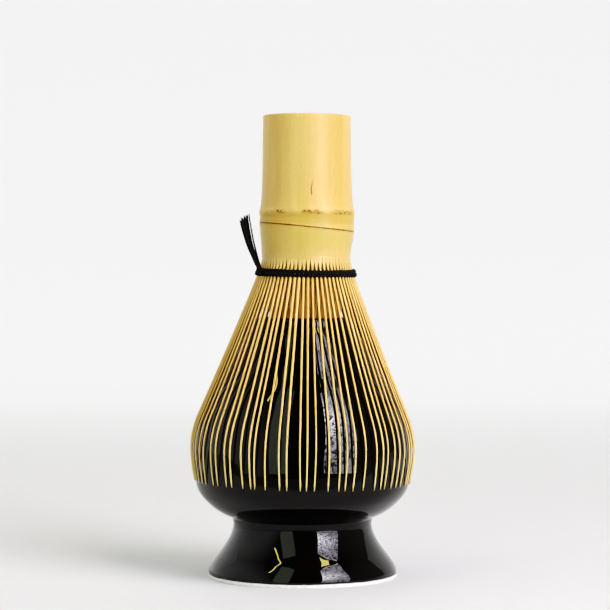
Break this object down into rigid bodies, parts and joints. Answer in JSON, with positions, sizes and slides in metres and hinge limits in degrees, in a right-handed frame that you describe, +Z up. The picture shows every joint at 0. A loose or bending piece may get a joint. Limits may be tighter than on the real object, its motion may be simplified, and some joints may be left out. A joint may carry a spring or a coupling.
{
  "type": "bamboo tea whisk with holder",
  "caption": "Bamboo tea whisk with two rings of split tines and a thread lacing, standing on a pear-shaped black glazed holder that keeps the tines in shape.",
  "frame": {"origin": "centre of the holder's foot ring, on the table", "axes": "+Z up through the holder's mouth; +X to the right and -Y towards the viewer of the thread knot's side"},
  "size_m": [0.0699, 0.07, 0.1429],
  "materials": {
    "black_glaze": "mirror-gloss black glaze over a white body, bare at the foot ring",
    "bamboo_culm": "dried bamboo skin, satin",
    "bamboo_tines": "split and shaved bamboo, satin",
    "bamboo_core": "split and shaved bamboo, matt",
    "black_thread": "twisted cotton thread, matt"
  },
  "bodies": {
    "holder": {"holder_shell": "black_glaze"},
    "whisk": {"grip_culm": "bamboo_culm", "lacing_row_upper": "black_thread", "lacing_row_lower": "black_thread", "lacing_knot": "black_thread", "thread_tail_bundle": "black_thread", "thread_tail_strand": "black_thread"},
    "outer_tines_01": {"outer_tines_01": "bamboo_tines"},
    "outer_tines_02": {"outer_tines_02": "bamboo_tines"},
    "outer_tines_03": {"outer_tines_03": "bamboo_tines"},
    "outer_tines_04": {"outer_tines_04": "bamboo_tines"},
    "outer_tines_05": {"outer_tines_05": "bamboo_tines"},
    "outer_tines_06": {"outer_tines_06": "bamboo_tines"},
    "outer_tines_07": {"outer_tines_07": "bamboo_tines"},
    "outer_tines_08": {"outer_tines_08": "bamboo_tines"},
    "outer_tines_09": {"outer_tines_09": "bamboo_tines"},
    "outer_tines_10": {"outer_tines_10": "bamboo_tines"},
    "outer_tines_11": {"outer_tines_11": "bamboo_tines"},
    "outer_tines_12": {"outer_tines_12": "bamboo_tines"},
    "outer_tines_13": {"outer_tines_13": "bamboo_tines"},
    "outer_tines_14": {"outer_tines_14": "bamboo_tines"},
    "inner_tines_01": {"inner_tines_01": "bamboo_core"},
    "inner_tines_02": {"inner_tines_02": "bamboo_core"},
    "inner_tines_03": {"inner_tines_03": "bamboo_core"},
    "inner_tines_04": {"inner_tines_04": "bamboo_core"},
    "inner_tines_05": {"inner_tines_05": "bamboo_core"},
    "inner_tines_06": {"inner_tines_06": "bamboo_core"},
    "inner_tines_07": {"inner_tines_07": "bamboo_core"}
  },
  "joints": [
    {"name": "lift_off", "type": "slide", "parent": "holder", "child": "whisk", "axis": [0, 0, 1], "range_m": [0, 0.06]},
    {"name": "outer_flex_01", "type": "hinge", "parent": "whisk", "child": "outer_tines_01", "pos_m": [0.0157, 0, 0.09308], "axis": [0, -1, 0], "range_deg": [0, 7], "stiffness_Nm_per_rad": 0.02},
    {"name": "outer_flex_02", "type": "hinge", "parent": "whisk", "child": "outer_tines_02", "pos_m": [0.01425, 0.00635, 0.09311], "axis": [0.4338, -0.901, -0.008], "range_deg": [0, 7], "stiffness_Nm_per_rad": 0.02},
    {"name": "outer_flex_03", "type": "hinge", "parent": "whisk", "child": "outer_tines_03", "pos_m": [0.0102, 0.01144, 0.09319], "axis": [0.7817, -0.6235, -0.0143], "range_deg": [0, 7], "stiffness_Nm_per_rad": 0.02},
    {"name": "outer_flex_04", "type": "hinge", "parent": "whisk", "child": "outer_tines_04", "pos_m": [0.00433, 0.01426, 0.09329], "axis": [0.9748, -0.2225, -0.0179], "range_deg": [0, 7], "stiffness_Nm_per_rad": 0.02},
    {"name": "outer_flex_05", "type": "hinge", "parent": "whisk", "child": "outer_tines_05", "pos_m": [-0.00218, 0.01426, 0.09341], "axis": [0.9748, 0.2225, -0.0179], "range_deg": [0, 7], "stiffness_Nm_per_rad": 0.02},
    {"name": "outer_flex_06", "type": "hinge", "parent": "whisk", "child": "outer_tines_06", "pos_m": [-0.00804, 0.01144, 0.09352], "axis": [0.7817, 0.6235, -0.0143], "range_deg": [0, 7], "stiffness_Nm_per_rad": 0.02},
    {"name": "outer_flex_07", "type": "hinge", "parent": "whisk", "child": "outer_tines_07", "pos_m": [-0.0121, 0.00635, 0.09359], "axis": [0.4338, 0.901, -0.008], "range_deg": [0, 7], "stiffness_Nm_per_rad": 0.02},
    {"name": "outer_flex_08", "type": "hinge", "parent": "whisk", "child": "outer_tines_08", "pos_m": [-0.01355, 0, 0.09362], "axis": [0, 1, 0], "range_deg": [0, 7], "stiffness_Nm_per_rad": 0.02},
    {"name": "outer_flex_09", "type": "hinge", "parent": "whisk", "child": "outer_tines_09", "pos_m": [-0.0121, -0.00635, 0.09359], "axis": [-0.4338, 0.901, 0.008], "range_deg": [0, 7], "stiffness_Nm_per_rad": 0.02},
    {"name": "outer_flex_10", "type": "hinge", "parent": "whisk", "child": "outer_tines_10", "pos_m": [-0.00804, -0.01144, 0.09352], "axis": [-0.7817, 0.6235, 0.0143], "range_deg": [0, 7], "stiffness_Nm_per_rad": 0.02},
    {"name": "outer_flex_11", "type": "hinge", "parent": "whisk", "child": "outer_tines_11", "pos_m": [-0.00218, -0.01426, 0.09341], "axis": [-0.9748, 0.2225, 0.0179], "range_deg": [0, 7], "stiffness_Nm_per_rad": 0.02},
    {"name": "outer_flex_12", "type": "hinge", "parent": "whisk", "child": "outer_tines_12", "pos_m": [0.00433, -0.01426, 0.09329], "axis": [-0.9748, -0.2225, 0.0179], "range_deg": [0, 7], "stiffness_Nm_per_rad": 0.02},
    {"name": "outer_flex_13", "type": "hinge", "parent": "whisk", "child": "outer_tines_13", "pos_m": [0.0102, -0.01144, 0.09319], "axis": [-0.7817, -0.6235, 0.0143], "range_deg": [0, 7], "stiffness_Nm_per_rad": 0.02},
    {"name": "outer_flex_14", "type": "hinge", "parent": "whisk", "child": "outer_tines_14", "pos_m": [0.01425, -0.00635, 0.09311], "axis": [-0.4338, -0.901, 0.008], "range_deg": [0, 7], "stiffness_Nm_per_rad": 0.02},
    {"name": "tine_flex_inner_01", "type": "hinge", "parent": "whisk", "child": "inner_tines_01", "pos_m": [0.01352, 0, 0.0933], "axis": [0, -1, 0], "range_deg": [0, 3], "stiffness_Nm_per_rad": 0.02},
    {"name": "tine_flex_inner_02", "type": "hinge", "parent": "whisk", "child": "inner_tines_02", "pos_m": [0.00884, 0.00973, 0.09338], "axis": [0.7817, -0.6235, -0.0143], "range_deg": [0, 3], "stiffness_Nm_per_rad": 0.02},
    {"name": "tine_flex_inner_03", "type": "hinge", "parent": "whisk", "child": "inner_tines_03", "pos_m": [-0.00169, 0.01213, 0.09358], "axis": [0.9748, 0.2225, -0.0179], "range_deg": [0, 3], "stiffness_Nm_per_rad": 0.02},
    {"name": "tine_flex_inner_04", "type": "hinge", "parent": "whisk", "child": "inner_tines_04", "pos_m": [-0.01013, 0.0054, 0.09373], "axis": [0.4338, 0.901, -0.008], "range_deg": [0, 3], "stiffness_Nm_per_rad": 0.02},
    {"name": "tine_flex_inner_05", "type": "hinge", "parent": "whisk", "child": "inner_tines_05", "pos_m": [-0.01013, -0.0054, 0.09373], "axis": [-0.4338, 0.901, 0.008], "range_deg": [0, 3], "stiffness_Nm_per_rad": 0.02},
    {"name": "tine_flex_inner_06", "type": "hinge", "parent": "whisk", "child": "inner_tines_06", "pos_m": [-0.00169, -0.01213, 0.09358], "axis": [-0.9748, 0.2225, 0.0179], "range_deg": [0, 3], "stiffness_Nm_per_rad": 0.02},
    {"name": "tine_flex_inner_07", "type": "hinge", "parent": "whisk", "child": "inner_tines_07", "pos_m": [0.00884, -0.00973, 0.09338], "axis": [-0.7817, -0.6235, 0.0143], "range_deg": [0, 3], "stiffness_Nm_per_rad": 0.02}
  ]
}
